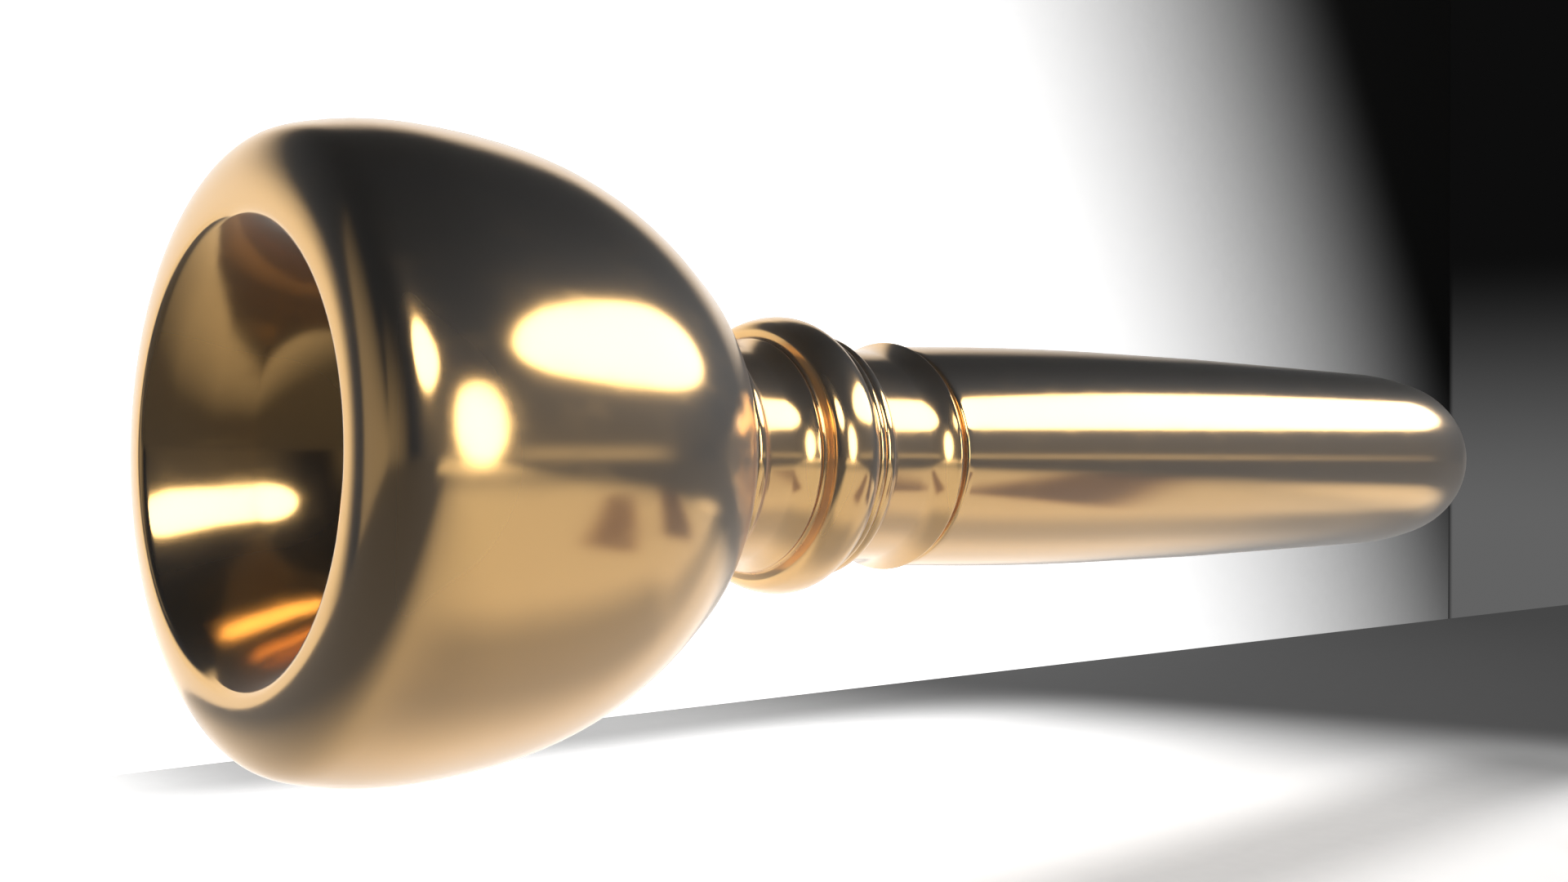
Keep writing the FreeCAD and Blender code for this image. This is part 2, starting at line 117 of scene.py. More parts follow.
def newGraph(name):
    material = bpy.data.materials.new(name)
    return material, Graph(material)


# an object of the scene that shows a mesh, a lamp or a camera
def placed(name, data):
    made = bpy.data.objects.new(name, data)
    scene.collection.objects.link(made)
    return made


# finishes of the brass: tint of the bare metal, how blurred it mirrors, and what the lathe left on it
buffed = {"tint": (0.7, 0.42, 0.15), "roughness": 0.13, "lines": 0.05, "grain": 0.1, "tarnish": 0.1}
reamed = {"tint": (0.68, 0.4, 0.135), "roughness": 0.22, "lines": 0.12, "grain": 0.1, "tarnish": 0.2}
threaded = {"tint": (0.68, 0.41, 0.15), "roughness": 0.3, "lines": 0.5, "grain": 0.25, "tarnish": 0.35}
# the film of wax and dust on the brass, which adds a pale haze where light falls on it
wax = {"Coat Weight": 0.5, "Coat Roughness": 0.5, "Coat IOR": 1.5,
       "Sheen Weight": 0.5, "Sheen Roughness": 0.8}
# scales of the metal's patterns, per metre, and how far its tints leave the bare metal's
wear = {"rings": (9000.0, 260.0, 260.0), "clouds": 210.0, "smears": (420.0, 900.0, 900.0), "grain": 26000.0,
        "redder": (0.93, 0.86, 0.8), "paler": (1.0, 1.03, 1.12), "patina": (0.42, 0.2, 0.07, 1)}


def brass(name, finish):
    material, graph = newGraph(name)
    place = graph.wire("ShaderNodeTexCoord", "Object")
    edge = graph.wire("ShaderNodeAttribute", "Fac", {"attribute_name": "edge"})
    groove = graph.wire("ShaderNodeAttribute", "Fac", {"attribute_name": "groove"})
    # rings left by turning and buffing run round the bore, so the noise is squeezed along X
    rings = graph.noise(graph.vectors("MULTIPLY", place, wear["rings"]), 1.0, 2.0)
    clouds = graph.noise(place, wear["clouds"], 4.0)
    smears = graph.noise(graph.vectors("MULTIPLY", place, wear["smears"]), 1.0)
    grain = graph.noise(place, wear["grain"], 2.0, 0.7)

    redder = tuple(c * k for c, k in zip(finish["tint"], wear["redder"])) + (1,)
    paler = tuple(min(c * k, 1) for c, k in zip(finish["tint"], wear["paler"])) + (1,)
    aged = graph.rise(clouds, 0.42, 0.72) * finish["tarnish"] + groove * 0.5
    tint = graph.blend(aged, finish["tint"] + (1,), redder)
    tint = graph.blend(groove * graph.rise(smears, 0.35, 0.6) * 0.45, tint, wear["patina"])
    tint = graph.blend(edge * 0.6, tint, paler)

    handled = graph.rise(smears, 0.45, 0.75) * 0.035
    turning = rings * (0.04 * finish["lines"])
    roughness = finish["roughness"] + handled + turning + groove * 0.12 - edge * 0.05

    height = rings * finish["lines"] + grain * finish["grain"]
    bump = graph.wire("ShaderNodeBump", "Normal", None,
                      {"Strength": 0.12, "Distance": 0.00002, "Height": height})
    shader = graph.wire("ShaderNodeBsdfPrincipled", "BSDF", {"distribution": "MULTI_GGX"}, {
        "Base Color": tint, "Metallic": 1.0, "Roughness": roughness, "Normal": bump, **wax})
    graph.add("ShaderNodeOutputMaterial", None, {"Surface": shader})
    return material


rubberFinish = {"black": (0.018, 0.018, 0.02, 1), "dust": (0.07, 0.066, 0.06, 1), "roughness": 0.55,
                "pores": 9000.0, "specks": 1400.0}


def sealRubber():
    material, graph = newGraph("sealRubber")
    place = graph.wire("ShaderNodeTexCoord", "Object")
    pores = graph.noise(place, rubberFinish["pores"])
    dust = graph.rise(graph.noise(place, rubberFinish["specks"], 4.0), 0.5, 0.75)
    tint = graph.blend(dust * 0.5, rubberFinish["black"], rubberFinish["dust"])
    bump = graph.wire("ShaderNodeBump", "Normal", None,
                      {"Strength": 0.3, "Distance": 0.00003, "Height": pores})
    shader = graph.wire("ShaderNodeBsdfPrincipled", "BSDF", None, {
        "Base Color": tint, "Roughness": rubberFinish["roughness"] + dust * 0.2, "Normal": bump})
    graph.add("ShaderNodeOutputMaterial", None, {"Surface": shader})
    return material


brassFinish = brass("buffedBrass", buffed)
boreFinish = brass("reamedBrass", reamed)
threadFinish = brass("threadedBrass", threaded)
rubber = sealRubber()
print("stage 2: finishes made")


# a node's front and back along the bore, and its largest radius, in millimetres
def reach(node):
    low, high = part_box(node)
    return low.x / mm, high.x / mm, high.z / mm


# points of an outline: corners (x, radius), and between two of them ("out", radius) or ("in", radius)
# for an arc that bulges or hollows the metal, which lies on the right of the way round
def traced(outline, step=0.08):
    points = [Vector(outline[0])]
    for before, entry, after in zip(outline, outline[1:], outline[2:] + [None]):
        if isinstance(entry[0], str):
            points += arcPoints(Vector(before), Vector(after), entry[1], entry[0] == "out", step)
        elif not isinstance(before[0], str):
            points += runPoints(Vector(before), Vector(entry), step)
    return points


def runPoints(start, end, step):
    count = max(1, math.ceil((end - start).length / step))
    return [start.lerp(end, i / count) for i in range(1, count + 1)]


def arcPoints(start, end, radius, outward, step):
    way = end - start
    right = Vector((way.y, -way.x)).normalized()
    rise = math.sqrt(max(radius ** 2 - way.length_squared / 4, 0))
    centre = (start + end) / 2 + right * (rise if outward else -rise)
    first, last = start - centre, end - centre
    turn = first.angle_signed(last)
    count = max(6, math.ceil(abs(turn) * radius / step))
    points = []
    for i in range(1, count + 1):
        spoke = first.copy()
        spoke.rotate(Matrix.Rotation(-turn * i / count, 2))
        points.append(centre + spoke)
    return points


# rounds every corner a little, as buffing does, and leaves the two ends where they are
def eased(points, width):
    lengths = [0.0]
    for a, b in zip(points, points[1:]):
        lengths.append(lengths[-1] + (b - a).length)
    result = []
    for i in range(len(points)):
        span = min(2.5 * width, lengths[i], lengths[-1] - lengths[i])
        total, weight = Vector((0, 0)), 0.0
        for side in (range(i, -1, -1), range(i + 1, len(points))):
            for j in side:
                away = abs(lengths[i] - lengths[j])
                if away > span:
                    break
                share = math.exp(-0.5 * (away / width) ** 2)
                total, weight = total + points[j] * share, weight + share
        result.append(total / weight)
    return result


# how sharply an outline turns, in 1/mm: above 0 on an edge or a bead, and below 0 in a groove
def bend(points, i):
    if i == 0 or i == len(points) - 1:
        return 0.0
    before, after = points[i] - points[i - 1], points[i + 1] - points[i]
    return before.angle_signed(after, 0) * 2 / (before.length + after.length)


# the numbers of the points that the outline's bends need
def thinned(points, most, turn):
    kept = [0]
    for i in range(1, len(points) - 1):
        start = points[kept[-1] + 1] - points[kept[-1]]
        ahead = points[i + 1] - points[i]
        far = (points[i] - points[kept[-1]]).length > most
        if far or abs(start.angle_signed(ahead, 0)) > turn:
            kept.append(i)
    return kept + [len(points) - 1]


lathe = {"segments": 224, "longestRow": 1.5, "turnPerRow": math.radians(2.5),
         "edgeRadius": 0.5, "grooveRadius": 0.6, "unworn": 0.3}


# how worn or grimy a bend is, from 0 to 1
def worn(level):
    return min(max(level - lathe["unworn"], 0), 1)


# a mesh turned about the bore, its front at x = front: each strand is points in mm and their finish
def turned(name, front, strands):
    segments = lathe["segments"]
    angles = [2 * math.pi * k / segments for k in range(segments)]
    circle = [(math.cos(angle), math.sin(angle)) for angle in angles]
    vertices, normals, faces, slots, edges, grooves = [], [], [], [], [], []
    for slot, (points, finish) in enumerate(strands):
        kept = thinned(points, lathe["longestRow"], lathe["turnPerRow"])
        bends = [bend(points, i) for i in kept]
        for count, i in enumerate(kept):
            way = points[min(i + 1, len(points) - 1)] - points[max(i - 1, 0)]
            out = Vector((-way.y, way.x)).normalized()
            near = bends[max(count - 1, 0):count + 2]
            level = sum(near) / len(near)
            edges += [worn(level * lathe["edgeRadius"])] * segments
            grooves += [worn(-level * lathe["grooveRadius"])] * segments
            for c, s in circle:
                vertices.append(((front + points[i].x) * mm, points[i].y * c * mm, points[i].y * s * mm))
                normals.append((out.x, out.y * c, out.y * s))
        first = len(vertices) - len(kept) * segments
        for row in range(first, len(vertices) - segments, segments):
            for k in range(segments):
                n = (k + 1) % segments
                faces.append((row + k, row + n, row + segments + n, row + segments + k))
                slots.append(slot)
    mesh = bpy.data.meshes.new(name)
    mesh.from_pydata(vertices, [], faces)
    for points, finish in strands:
        mesh.materials.append(finish)
    mesh.polygons.foreach_set("material_index", slots)
    mesh.polygons.foreach_set("use_smooth", [True] * len(faces))
    for attribute, levels in (("edge", edges), ("groove", grooves)):
        mesh.attributes.new(attribute, "FLOAT", "POINT").data.foreach_set("value", levels)
    mesh.normals_split_custom_set_from_vertices(normals)
    return placed(name, mesh)


screw = {"pitch": 1.0, "depth": 0.5, "root": 0.6, "crest": 0.24, "sunk": 0.08, "play": 0.12,
         "stepsPerTurn": 96, "sharp": math.radians(25)}


# a right-hand helical ridge from radius foot to radius top, its first turn standing at x = start above +Y
def ridge(name, start, length, foot, top, footWidth, topWidth, finish):
    steps = round(length / screw["pitch"] * screw["stepsPerTurn"])
    run = screw["stepsPerTurn"] // 6
    foots, crests = footWidth / 2, topWidth / 2
    vertices, faces = [], []
    for i in range(steps + 1):
        angle = 2 * math.pi * i / screw["stepsPerTurn"]
        x = start + screw["pitch"] * i / screw["stepsPerTurn"]
        # the ridge rises out of the wall over its first sixth of a turn and sinks back at its end
        height = min(i / run, (steps - i) / run, 1)
        crest = foot + (top - foot) * height
        for side, radius in ((-foots, foot), (-crests, crest), (crests, crest), (foots, foot)):
            vertices.append(((x + side) * mm, radius * math.cos(angle) * mm, radius * math.sin(angle) * mm))
    for i in range(steps):
        for j in range(3):
            a = 4 * i + j
            face = (a, a + 4, a + 5, a + 1)
            faces.append(face if top > foot else face[::-1])
    mesh = bpy.data.meshes.new(name)
    mesh.from_pydata(vertices, [], faces)
    mesh.materials.append(finish)
    mesh.polygons.foreach_set("use_smooth", [True] * len(faces))
    mesh.set_sharp_from_angle(angle=screw["sharp"])
    return placed(name, mesh)


# the bowl inside the rim and the cup: a rounded lip, a straight wall, a hollow, a funnel and the throat
bowlSizes = {
    "bore": 8.7, "bite": 0.45, "lipAngle": math.radians(28), "lip": 10.0, "wallAngle": math.radians(20),
    "wall": 2.6, "hollow": 7.6, "funnelAngle": math.radians(52), "throat": 1.85, "throatEdge": 1.2,
}


# where an arc ends that starts at a place and turns from one angle off the bore's direction to another
def swept(start, radius, first, last):
    way = math.copysign(radius, last - first)
    return Vector((start.x + way * (math.sin(last) - math.sin(first)),
                   start.y - way * (math.cos(first) - math.cos(last))))


def bowlPlaces():
    z = bowlSizes
    crest = z["bore"] + z["bite"]
    lip = Vector((z["bite"] * (1 - math.sin(z["lipAngle"])), crest - z["bite"] * math.cos(z["lipAngle"])))
    wall = swept(lip, z["lip"], z["lipAngle"], z["wallAngle"])
    hollow = wall + z["wall"] * Vector((math.cos(z["wallAngle"]), -math.sin(z["wallAngle"])))
    funnel = swept(hollow, z["hollow"], z["wallAngle"], z["funnelAngle"])
    drop = funnel.y - z["throat"] - z["throatEdge"] * (1 - math.cos(z["funnelAngle"]))
    funnelEnd = funnel + drop * Vector((1 / math.tan(z["funnelAngle"]), -1))
    throat = Vector((funnelEnd.x + z["throatEdge"] * math.sin(z["funnelAngle"]), z["throat"]))
    return {"crest": Vector((0, crest)), "lip": lip, "wall": wall, "hollow": hollow, "funnel": funnel,
            "funnelEnd": funnelEnd, "throat": throat}


bowl = bowlPlaces()


# a point of the funnel at x
def onFunnel(x):
    return Vector((x, bowl["funnel"].y - (x - bowl["funnel"].x) * math.tan(bowlSizes["funnelAngle"])))


# rim and cup share one outside, which the seam between them cuts without a step
cupSizes = {
    "faceAngle": math.radians(35), "corner": 1.7, "sideAngle": math.radians(73), "sideDrop": 0.6,
    "belly": 26.6, "bellyAngle": math.radians(9.4), "shoulder": 16.0, "coneAngle": math.radians(34.8),
    "cone": 1.45, "tail": 4.1, "softness": 0.35,
}


def cupOutside(widest, back):
    z = cupSizes
    crest = bowl["crest"].y
    side = widest - z["sideDrop"]
    corner = side - z["corner"] * (math.sin(z["sideAngle"]) - math.sin(z["faceAngle"]))
    face = (corner - crest) / math.sin(z["faceAngle"])
    cornerX = face * (1 - math.cos(z["faceAngle"]))
    sideX = cornerX + z["corner"] * (math.cos(z["faceAngle"]) - math.cos(z["sideAngle"]))
    flank = z["sideDrop"] / (1 - math.sin(z["sideAngle"]))
    bellyX = sideX + flank * math.cos(z["sideAngle"])
    turnX = bellyX + z["belly"] * math.sin(z["bellyAngle"])
    turnRadius = widest - z["belly"] * (1 - math.cos(z["bellyAngle"]))
    coneX = turnX + z["shoulder"] * (math.sin(z["coneAngle"]) - math.sin(z["bellyAngle"]))
    coneRadius = turnRadius - z["shoulder"] * (math.cos(z["bellyAngle"]) - math.cos(z["coneAngle"]))
    tailX = coneX + z["cone"] * math.cos(z["coneAngle"])
    tailRadius = coneRadius - z["cone"] * math.sin(z["coneAngle"])
    tailRun = z["tail"] * math.sin(z["coneAngle"]) + back - tailX
    endRadius = tailRadius - z["tail"] * math.cos(z["coneAngle"]) + math.sqrt(z["tail"] ** 2 - tailRun ** 2)
    return traced([
        (0, crest), ("out", face), (cornerX, corner), ("out", z["corner"]), (sideX, side),
        ("out", flank), (bellyX, widest), ("out", z["belly"]), (turnX, turnRadius),
        ("out", z["shoulder"]), (coneX, coneRadius), (tailX, tailRadius),
        ("out", z["tail"]), (back, endRadius),
    ])


# an outline cut in two at x, where both parts get the same point
def cutAt(points, x):
    i = next(i for i, point in enumerate(points) if point.x >= x)
    before, after = points[i - 1], points[i]
    cut = before.lerp(after, (x - before.x) / (after.x - before.x))
    return points[:i] + [cut], [cut] + points[i:]


skirtEnd = reach("rim")[1]
cupFront, stemEnd, cupRadius = reach("cup")
neckFront, neckEnd = reach("neck_ring")[:2]
shankFront = reach("shank")[0]
rimOutside, cupSide = cutAt(eased(cupOutside(cupRadius, neckFront), cupSizes["softness"]), cupFront)

rimSizes = {"skirt": 9.65, "chamfer": 0.3, "firstTurn": 1.9, "threadLength": 2.5}


def makeRim():
    z = rimSizes
    bite, end = bowlSizes["bite"], onFunnel(skirtEnd)
    skirt = traced([rimOutside[-1], (cupFront, z["skirt"]), (skirtEnd - z["chamfer"], z["skirt"]),
                    (skirtEnd, z["skirt"] - z["chamfer"]), end])
    lips = traced([end, bowl["funnel"], ("in", bowlSizes["hollow"]), bowl["hollow"], bowl["wall"],
                   ("out", bowlSizes["lip"]), bowl["lip"], ("out", bite), bowl["crest"]]) + rimOutside[1:]
    rim = turned("rimRing", 0, [(lips, brassFinish), (skirt, threadFinish)])
    thread = ridge("rimThread", cupFront + z["firstTurn"], z["threadLength"], z["skirt"] - screw["sunk"],
                   z["skirt"] + screw["depth"], screw["root"], screw["crest"], threadFinish)
    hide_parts("rim")
    for piece in (rim, thread):
        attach(piece, "rim")


stemSizes = {"stem": 4.7, "socket": 3.17, "socketDepth": 7.75, "sealGroove": 4.35, "sealDepth": 0.8,
             "rimSealGroove": 10.75, "rimSealDepth": 1.08}
spigotSizes = {"radius": 3.05, "chamfer": 0.25, "firstTurn": 0.65, "threadLength": 5.4, "land": 3.55,
               "landLength": 0.85}


# the ridges between a thread's grooves inside a socket, whose first tooth groove stands at x = tooth
def socketThread(name, tooth, length, groove):
    foot = screw["pitch"] - screw["crest"] - 2 * screw["play"]
    top = screw["pitch"] - screw["root"] - 2 * screw["play"]
    return ridge(name, tooth - 0.5 * screw["pitch"], length, groove, groove - screw["depth"], foot, top,
                 threadFinish)


def makeCup():
    z = stemSizes
    socketX = stemEnd - z["socketDepth"]
    shankGroove = z["socket"] + screw["depth"]
    rimGroove = rimSizes["skirt"] + screw["depth"] + screw["play"]
    sealX = cupFront + z["rimSealDepth"]
    back = traced([cupSide[-1], (neckFront, z["stem"]), (stemEnd, z["stem"]), (stemEnd, z["sealGroove"]),
                   (stemEnd - z["sealDepth"], z["sealGroove"]), (stemEnd - z["sealDepth"], shankGroove),
                   (socketX, shankGroove), (socketX, bowlSizes["throat"])])
    bore = traced([(socketX, bowlSizes["throat"]), bowl["throat"]])
    hollow = traced([bowl["throat"], ("out", bowlSizes["throatEdge"]), bowl["funnelEnd"],
                     onFunnel(skirtEnd)])
    socket = traced([onFunnel(skirtEnd), (skirtEnd, rimGroove), (sealX, rimGroove),
                     (sealX, z["rimSealGroove"]), (cupFront, z["rimSealGroove"]), cupSide[0]])
    cup = turned("cupShell", 0, [(cupSide, brassFinish), (back, threadFinish), (bore, boreFinish),
                                 (hollow, brassFinish), (socket, threadFinish)])
    rimThread = socketThread("cupThread", cupFront + rimSizes["firstTurn"],
                             skirtEnd - sealX - screw["pitch"], rimGroove)
    shankThread = socketThread("stemThread", shankFront + spigotSizes["firstTurn"],
                               z["socketDepth"] - z["sealDepth"] - screw["pitch"], shankGroove)
    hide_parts("cup")
    for piece in (cup, rimThread, shankThread):
        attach(piece, "cup")


fineStep = 0.03


# a ring with a round bore: its outside is softened at every corner
def ring(name, node, bore, outline, softness=0.05):
    front, back = reach(node)[:2]
    length = back - front
    outer = eased(traced([(0, bore)] + outline + [(length, bore)], fineStep), softness)
    inner = traced([(length, bore), (0, bore)])
    piece = turned(name, front, [(outer, brassFinish), (inner, threadFinish)])
    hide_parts(node)
    return piece


# the shape that the neck ring and the ferrule share: a ridge, a cove, a plain band and a flared brim
bandShape = {"ridge": 0.45, "ridgeAngle": math.radians(65), "flare": 3.0, "brimEdge": 0.15}
neckSizes = {"bore": 4.71, "front": 5.7, "fillet": 0.35, "place": 1.53, "ridge": 5.75, "band": 5.1,
             "brim": 5.44}
ferruleSizes = {"bore": 4.01, "place": 0.29, "ridge": 5.79, "band": 5.12, "brim": 5.64}


# the outside from the far side of the ridge to the back
def bandOutline(sizes, length):
    z, shape = sizes, bandShape
    flank = shape["ridge"] * (1 - math.cos(shape["ridgeAngle"]))
    cove = (z["ridge"] - flank - z["band"]) / (1 - math.cos(shape["ridgeAngle"]))
    rise = z["brim"] - z["band"]
    brimX = length - shape["brimEdge"]
    return [
        (z["place"] + shape["ridge"] * math.sin(shape["ridgeAngle"]), z["ridge"] - flank), ("in", cove),
        (z["place"] + (shape["ridge"] + cove) * math.sin(shape["ridgeAngle"]), z["band"]),
        (brimX - math.sqrt((2 * shape["flare"] - rise) * rise), z["band"]), ("in", shape["flare"]),
        (brimX, z["brim"]), ("out", shape["brimEdge"]), (length, z["brim"] - shape["brimEdge"]),
    ]


def makeNeckRing():
    z, ridgeRadius = neckSizes, bandShape["ridge"]
    waist = z["front"] - z["fillet"]
    ridgeX = z["place"] - math.sqrt(ridgeRadius ** 2 - (waist - z["ridge"] + ridgeRadius) ** 2)
    piece = ring("neckRing", "neck_ring", z["bore"], [
        (0, z["front"]), ("in", z["fillet"]), (z["fillet"], waist), (ridgeX, waist), ("out", ridgeRadius),
    ] + bandOutline(z, neckEnd - neckFront))
    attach(piece, "cup")


beadSizes = {
    "bore": 4.03, "foot": 5.4, "footLength": 0.16, "footRise": 0.07, "place": 1.71, "back": 1.58,
    "dome": 2.6, "domeAngle": math.radians(25), "flank": 0.8, "flankAngle": math.radians(70),
}


def makeBeadCollar():
    z = beadSizes
    front, back, top = reach("bead_collar")
    domeX = z["place"] - z["dome"] * math.sin(z["domeAngle"])
    domeRadius = top - z["dome"] * (1 - math.cos(z["domeAngle"]))
    flankX = domeX - z["flank"] * (math.sin(z["flankAngle"]) - math.sin(z["domeAngle"]))
    flankRadius = domeRadius - z["flank"] * (math.cos(z["domeAngle"]) - math.cos(z["flankAngle"]))
    backRadius = top - z["back"] + math.sqrt(z["back"] ** 2 - (back - front - z["place"]) ** 2)
    piece = ring("beadCollar", "bead_collar", z["bore"], [
        (0, z["foot"]), (z["footLength"], z["foot"] + z["footRise"]), (flankX, flankRadius),
        ("out", z["flank"]), (domeX, domeRadius), ("out", z["dome"]), (z["place"], top),
        ("out", z["back"]), (back - front, backRadius)])
    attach(piece, "collar")


spacerSizes = {"bore": 4.01, "radius": 5.66, "bead": 0.27, "softness": 0.03}


def makeSpacerRing():
    z = spacerSizes
    front, back, top = reach("spacer_ring")
    middle, rise = (back - front) / 2, top - z["radius"]
    half = math.sqrt((2 * z["bead"] - rise) * rise)
    piece = ring("spacerRing", "spacer_ring", z["bore"], [
        (0, z["radius"]), (middle - half, z["radius"]), ("out", z["bead"]), (middle + half, z["radius"]),
        (back - front, z["radius"])], z["softness"])
    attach(piece, "shank")


def makeFerrule():
    z, ridgeRadius = ferruleSizes, bandShape["ridge"]
    front, back = reach("ferrule")[:2]
    frontRadius = z["ridge"] - ridgeRadius + math.sqrt(ridgeRadius ** 2 - z["place"] ** 2)
    piece = ring("ferrule", "ferrule", z["bore"], [
        (0, frontRadius), ("out", ridgeRadius)] + bandOutline(z, back - front))
    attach(piece, "shank")


shankSizes = {
    "journal": 4.0, "root": 5.05, "rootWidth": 0.15, "fillet": 0.3, "chamfer": 0.1, "swell": 15.6,
    "taper": math.radians(0.72), "flow": 33.0, "flowAngle": math.radians(10), "nose": 7.4,
    "noseAngle": math.radians(35), "noseEdge": 0.3, "endFace": 3.66, "boreStart": 1.9, "boreEnd": 3.2,
    "boreChamfer": 0.2, "softness": 0.12, "neckSoftness": 0.05,
}


def makeShank():
    z, spigot = shankSizes, spigotSizes
    start, tip, widest = reach("shank")
    root = reach("ferrule")[1]
    collar = reach("bead_collar")[0]
    edgeX = tip - z["noseEdge"] * (1 - math.sin(z["noseAngle"]))
    edgeRadius = z["endFace"] + z["noseEdge"] * math.cos(z["noseAngle"])
    noseX = edgeX - z["nose"] * (math.sin(z["noseAngle"]) - math.sin(z["flowAngle"]))
    noseRadius = edgeRadius + z["nose"] * (math.cos(z["flowAngle"]) - math.cos(z["noseAngle"]))
    flowX = noseX - z["flow"] * (math.sin(z["flowAngle"]) - math.sin(z["taper"]))
    flowRadius = noseRadius + z["flow"] * (math.cos(z["taper"]) - math.cos(z["flowAngle"]))
    taperX = flowX - (widest - flowRadius) / math.tan(z["taper"])
    filletX = root + z["rootWidth"] + z["fillet"]
    swellX, swellRadius = filletX + z["chamfer"], z["root"] + z["fillet"] + z["chamfer"]
    swell = (z["swell"] ** 2 + (widest - swellRadius) ** 2) / (2 * (widest - swellRadius))
    landX = collar - spigot["landLength"]
    inner = traced([(start, z["boreStart"]), (start, spigot["radius"] - spigot["chamfer"]),
                    (start + spigot["chamfer"], spigot["radius"]), (landX, spigot["radius"]),
                    (landX, spigot["land"]), (collar, spigot["land"]), (collar, z["journal"]),
                    (root, z["journal"])])
    neck = traced([(root, z["journal"]), (root, z["root"]), (root + z["rootWidth"], z["root"]),
                   ("in", z["fillet"]), (filletX, z["root"] + z["fillet"]), (swellX, swellRadius),
                   ("out", swell), (swellX + z["swell"], widest)], fineStep)
    body = traced([(swellX + z["swell"], widest), (taperX, widest), (flowX, flowRadius), ("out", z["flow"]),
                   (noseX, noseRadius), ("out", z["nose"]), (edgeX, edgeRadius), ("out", z["noseEdge"]),
                   (tip, z["endFace"]), (tip, z["boreEnd"] + z["boreChamfer"]),
                   (tip - z["boreChamfer"], z["boreEnd"])])
    bore = traced([(tip - z["boreChamfer"], z["boreEnd"]), (start, z["boreStart"])])
    shank = turned("shankTube", 0, [
        (inner, threadFinish), (eased(neck, z["neckSoftness"]), brassFinish),
        (eased(body, z["softness"]), brassFinish), (bore, boreFinish)])
    thread = ridge("shankThread", start + spigot["firstTurn"], spigot["threadLength"],
                   spigot["radius"] - screw["sunk"], spigot["radius"] + screw["depth"],
                   screw["root"], screw["crest"], threadFinish)
    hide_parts("shank")
    for piece in (shank, thread):
        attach(piece, "shank")


sealSizes = {"sides": 48, "flash": 0.03, "flashWidth": 0.12}


# a rubber ring of round section with the fine moulding line left round its outside and inside
def makeSeal(node, name, body):
    front, back, radius = reach(node)
    half = (back - front) / 2
    points = []
    for i in range(sealSizes["sides"] + 1):
        angle = 2 * math.pi * i / sealSizes["sides"]
        line = math.exp(-(math.cos(angle) / sealSizes["flashWidth"]) ** 2)
        size = half - sealSizes["flash"] * (1 - line)
        points.append(Vector((half - size * math.cos(angle), radius - half + size * math.sin(angle))))
    piece = turned(name, front, [(points, rubber)])
    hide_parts(node)
    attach(piece, body)


makeRim()
makeCup()
makeNeckRing()
makeBeadCollar()
makeSpacerRing()
makeFerrule()
makeShank()
makeSeal("rim_seal", "rimSeal", "rim_seal")
makeSeal("shank_seal", "shankSeal", "collar")
print("stage 3: pieces turned")


# the room, in mm: a floor below the part and a wall behind it, which ends at a corner on the right
room = {"drop": 22.0, "left": -700.0, "right": 900.0, "near": -700.0, "wall": 56.0, "corner": 197.0,
        "top": 600.0}
# the backdrop's paper: its pale colour, grain and roughness, the near-black it takes in painted shade, and
# the white and amber hues of the painted light that it glows with
paper = {"pale": (0.84, 0.84, 0.84, 1), "shade": (0.03, 0.03, 0.03, 1), "white": (1.0, 1.0, 1.0, 1),
         "amber": (1.0, 0.7, 0.5, 1), "grain": 900.0, "roughness": 0.8}

# shadows of the part on the floor: a line from one place to another, how far they reach on each side of it,
# how soft their edges are, the share of the light that they keep off, and how much brass glow fills them
shadows = [
    {"from": (2, -15), "to": (42, -11), "reach": 9, "soft": 6, "depth": 0.55, "warm": 0.0},
    {"from": (42, -8), "to": (100, -4), "reach": 6, "soft": 5, "depth": 0.45, "warm": 0.0},
    {"from": (41, -37), "to": (94, -86), "reach": 6, "soft": 3.5, "depth": 0.68, "warm": 1.0},
    {"from": (68, -26), "to": (134, -74), "reach": 9, "soft": 4, "depth": 0.8, "warm": 1.0},
]


# how deep x, y lies in a shadow, from 0 to 1
def inShadow(graph, x, y, shadow):
    (x0, y0), (x1, y1) = shadow["from"], shadow["to"]
    length = math.hypot(x1 - x0, y1 - y0)
    wayX, wayY, soft = (x1 - x0) / length, (y1 - y0) / length, shadow["soft"]
    along = (x - x0) * wayX + (y - y0) * wayY
    off = graph.maths("ABSOLUTE", (y - y0) * wayX - (x - x0) * wayY)
    inside = 1 - graph.rise(off, shadow["reach"] - soft, shadow["reach"] + soft)
    begun = inside * graph.rise(along, -soft, soft)
    return begun * (1 - graph.rise(along, length - soft, length + soft))


# where the floor's light grows or fades, in mm along X or Y, or from the middle of the glint
floorEdges = {
    "left": (-20, 14), "behindPart": (-14, -6), "rightBehind": (66, 110), "rightBefore": (95, 150),
    "near": (-150, -95), "beyond": (-270, -190), "beyondSide": (60, 110), "foot": (34, 50),
    "footRight": (4, 26), "back": (6, 28), "glint": (4 * mm, 26 * mm),
}
# the slant of its right edge, the middle of the patch beyond the camera, the glint's place in metres, and
# how bright its lights are
floorShape = {"slant": (0.956, 0.294), "beyondX": 30, "glintAt": (0.13, -0.02, -room["drop"] * mm)}
floorLevels = {"beyond": 1.3, "glint": 0.8, "dusk": 0.06}


